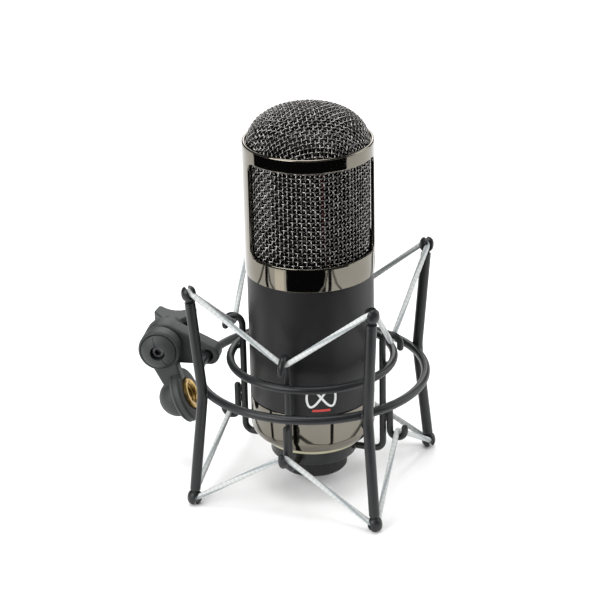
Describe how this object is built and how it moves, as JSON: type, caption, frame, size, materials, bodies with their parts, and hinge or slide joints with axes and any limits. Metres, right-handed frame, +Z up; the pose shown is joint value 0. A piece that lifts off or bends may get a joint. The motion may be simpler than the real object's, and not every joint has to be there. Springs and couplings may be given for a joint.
{
  "type": "ribbon microphone",
  "caption": "Side-address ribbon microphone with two mesh windows, held by zigzag elastics in a wire cage shock mount with a stand swivel.",
  "frame": {"origin": "centre of the flat face of the cable connector, on the microphone's axis", "axes": "+Z up along the microphone's axis, the front of the microphone faces -Y"},
  "size_m": [0.1359, 0.1223, 0.1769],
  "materials": {
    "black_nickel": "mirror-bright black nickel plate",
    "mesh_wire": "woven wire, gunmetal plated",
    "body_black": "fine satin black",
    "cage_black": "satin black powder coat",
    "cream_ring": "matt",
    "grey_plastic": "satin moulded",
    "black_plastic": "satin moulded",
    "brass": "machined",
    "elastic_braid": "braided cover over rubber",
    "magnet_plating": "yellow passivated",
    "ribbon_foil": "corrugated foil",
    "red_insulation": "satin",
    "black_insulation": "satin",
    "steel": "machined"
  },
  "bodies": {
    "cage": {"bottom_cap_1": "cage_black", "bottom_cap_2": "cage_black", "bottom_cap_3": "cage_black", "bottom_cap_4": "cage_black", "friction_washer": "black_plastic", "link_arm": "grey_plastic", "lower_elastic": "elastic_braid", "outer_ring": "cage_black", "post_1": "cage_black", "post_2": "cage_black", "post_3": "cage_black", "post_4": "cage_black", "top_cap_1": "cage_black", "top_cap_2": "cage_black", "top_cap_3": "cage_black", "top_cap_4": "cage_black", "upper_elastic": "elastic_braid"},
    "cradle": {"base_collar": "cage_black", "black_lead": "black_insulation", "body_tube": "body_black", "chassis_rail_left": "steel", "chassis_rail_right": "steel", "connector_insert": "black_plastic", "connector_pin_1": "steel", "connector_pin_2": "steel", "connector_pin_3": "steel", "cradle_rod_1": "cage_black", "cradle_rod_2": "cage_black", "cradle_rod_3": "cage_black", "cradle_rod_4": "cage_black", "deck_plate": "black_plastic", "dome_grille": "mesh_wire", "end_cap": "black_nickel", "head_frame": "black_nickel", "inner_ring": "cage_black", "lower_hook_1": "cage_black", "lower_hook_2": "cage_black", "lower_hook_3": "cage_black", "lower_hook_4": "cage_black", "magnet_left": "magnet_plating", "magnet_right": "magnet_plating", "motor_base": "magnet_plating", "motor_top": "magnet_plating", "pole_left": "steel", "pole_right": "steel", "red_lead": "red_insulation", "ribbon": "ribbon_foil", "ribbon_clamp_bottom": "brass", "ribbon_clamp_top": "brass", "seat_ring": "cream_ring", "side_grille": "mesh_wire", "threaded_base": "steel", "transformer": "steel", "transformer_bracket": "steel"},
    "ring_nut": {"ring_nut": "black_plastic"},
    "knuckle": {"pivot_bolt": "steel", "stand_knuckle": "grey_plastic", "thread_insert": "brass"},
    "wing_nut": {"wing_nut": "grey_plastic"}
  },
  "joints": [
    {"name": "cradle_float", "type": "slide", "parent": "cage", "child": "cradle", "axis": [0, 0, 1], "range_m": [-0.005, 0.005], "stiffness_N_per_m": 1500, "springref_m": 0.00484, "deforming": ["upper_elastic", "lower_elastic"]},
    {"name": "ring_nut_turn", "type": "hinge", "parent": "cradle", "child": "ring_nut", "pos_m": [0, 0, -0.01], "axis": [0, 0, -1], "range_deg": [0, 360]},
    {"name": "stand_tilt", "type": "hinge", "parent": "cage", "child": "knuckle", "pos_m": [-0.06323, 0.03322, 0.0374], "axis": [0.3007, 0.9537, 0], "range_deg": [-10, 150]},
    {"name": "wing_nut_turn", "type": "hinge", "parent": "cage", "child": "wing_nut", "pos_m": [-0.06323, 0.03322, 0.0374], "axis": [0.3007, 0.9537, 0], "range_deg": [0, 540]}
  ]
}
